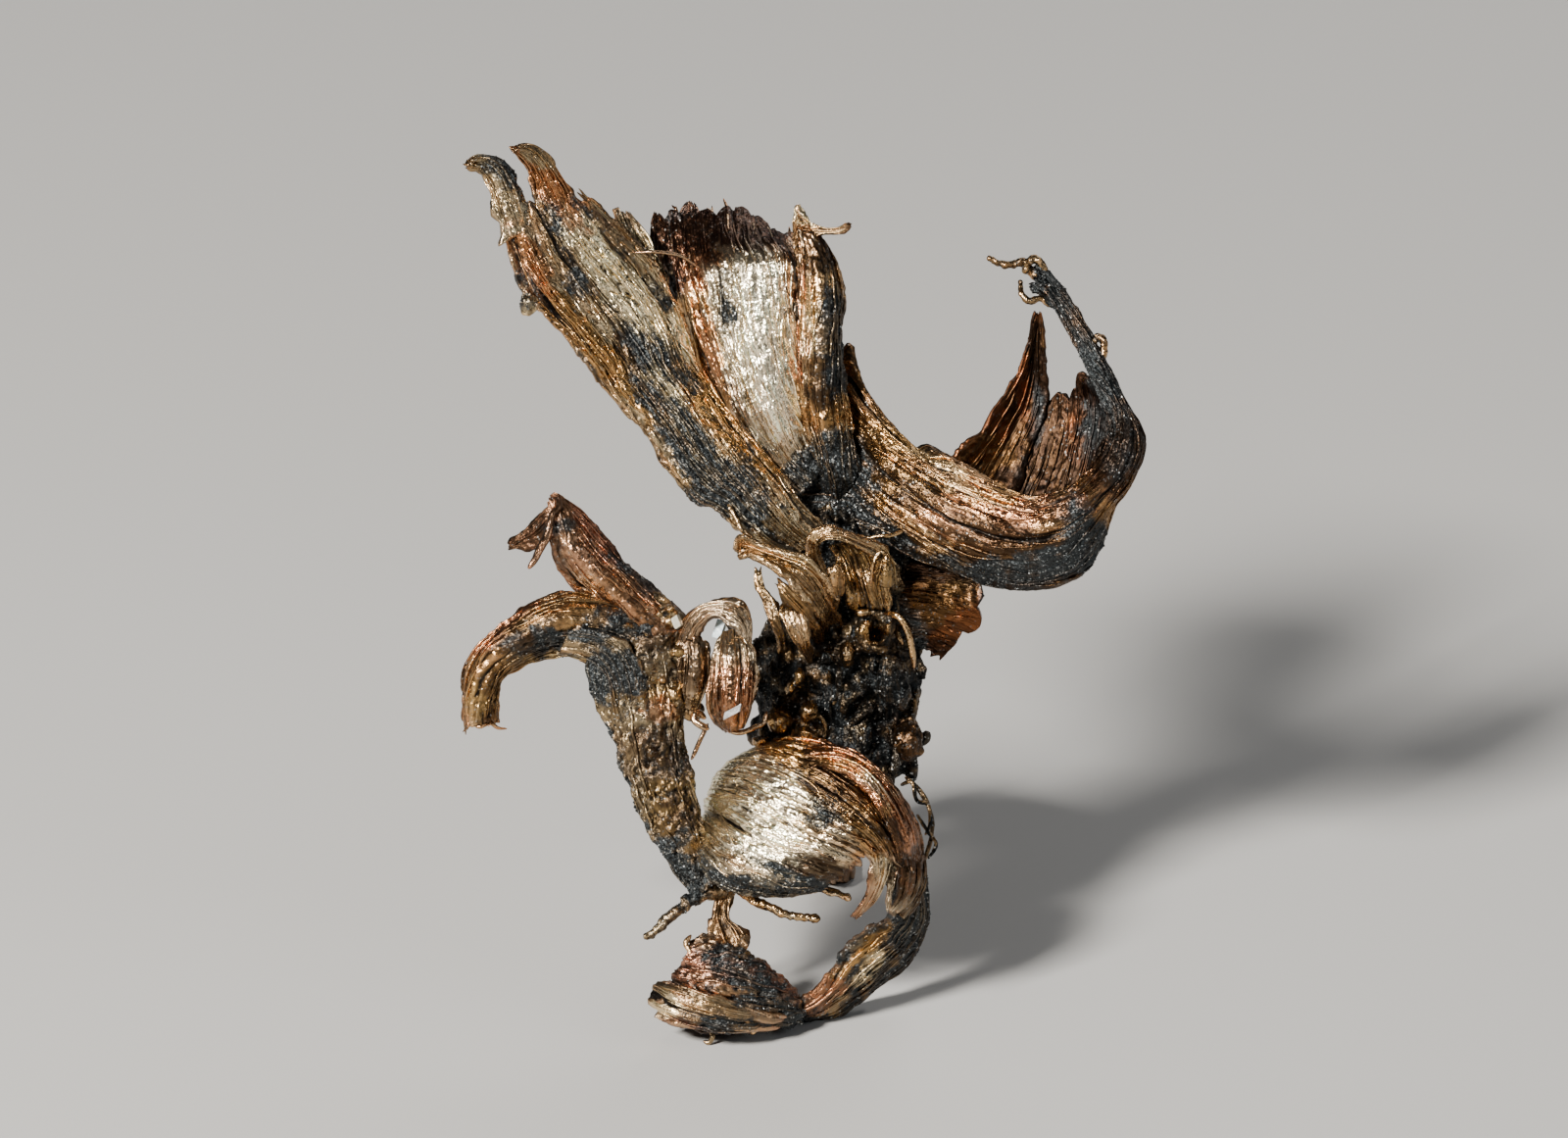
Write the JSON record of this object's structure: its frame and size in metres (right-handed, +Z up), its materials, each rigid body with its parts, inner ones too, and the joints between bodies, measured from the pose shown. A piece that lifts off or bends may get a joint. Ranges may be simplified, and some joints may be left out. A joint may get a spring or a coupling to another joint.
{
  "type": "native silver specimen",
  "caption": "Native silver in curled, striated ribbons that spread from a dark lumpy core; stands on curled feet as a cabinet display piece.",
  "frame": {"origin": "middle of the bounding box, on the plane that the feet stand on", "axes": "+Z up from the feet, +Y away from the displayed front, +X to the right as seen from the front"},
  "size_m": [0.0576, 0.0442, 0.0716],
  "materials": {
    "core": "sooty tarnish, satin to dull",
    "rear_curl": "black tarnish, satin",
    "horn": "golden brown tarnish, satin",
    "left_fan": "pale silver with black and gold tarnish, satin",
    "middle_fan": "pale silver with brown and black tarnish, satin",
    "right_fold": "pinkish gold tarnish, satin",
    "side_fan": "golden brown tarnish, satin",
    "shell": "cream silver with gold and copper tarnish, satin",
    "left_arm": "porous grey and black tarnish, satin to dull",
    "upper_claw": "coppery tarnish, satin",
    "lower_claw": "golden brown tarnish, satin",
    "arch_curl": "pale gold tarnish, satin",
    "ring": "black tarnish with a golden inner edge, satin",
    "foot_curl": "pale pink tarnish with blue-grey hollows, satin",
    "calcite": "white, glossy cleavage faces"
  },
  "bodies": {
    "root": {"core": "core", "rear_curl": "rear_curl", "horn": "horn", "left_fan": "left_fan", "middle_fan": "middle_fan", "right_fold": "right_fold", "side_fan": "side_fan", "shell": "shell", "left_arm": "left_arm", "upper_claw": "upper_claw", "lower_claw": "lower_claw", "arch_curl": "arch_curl", "ring": "ring", "foot_curl": "foot_curl", "calcite_1": "calcite", "calcite_2": "calcite", "calcite_3": "calcite"}
  },
  "joints": []
}
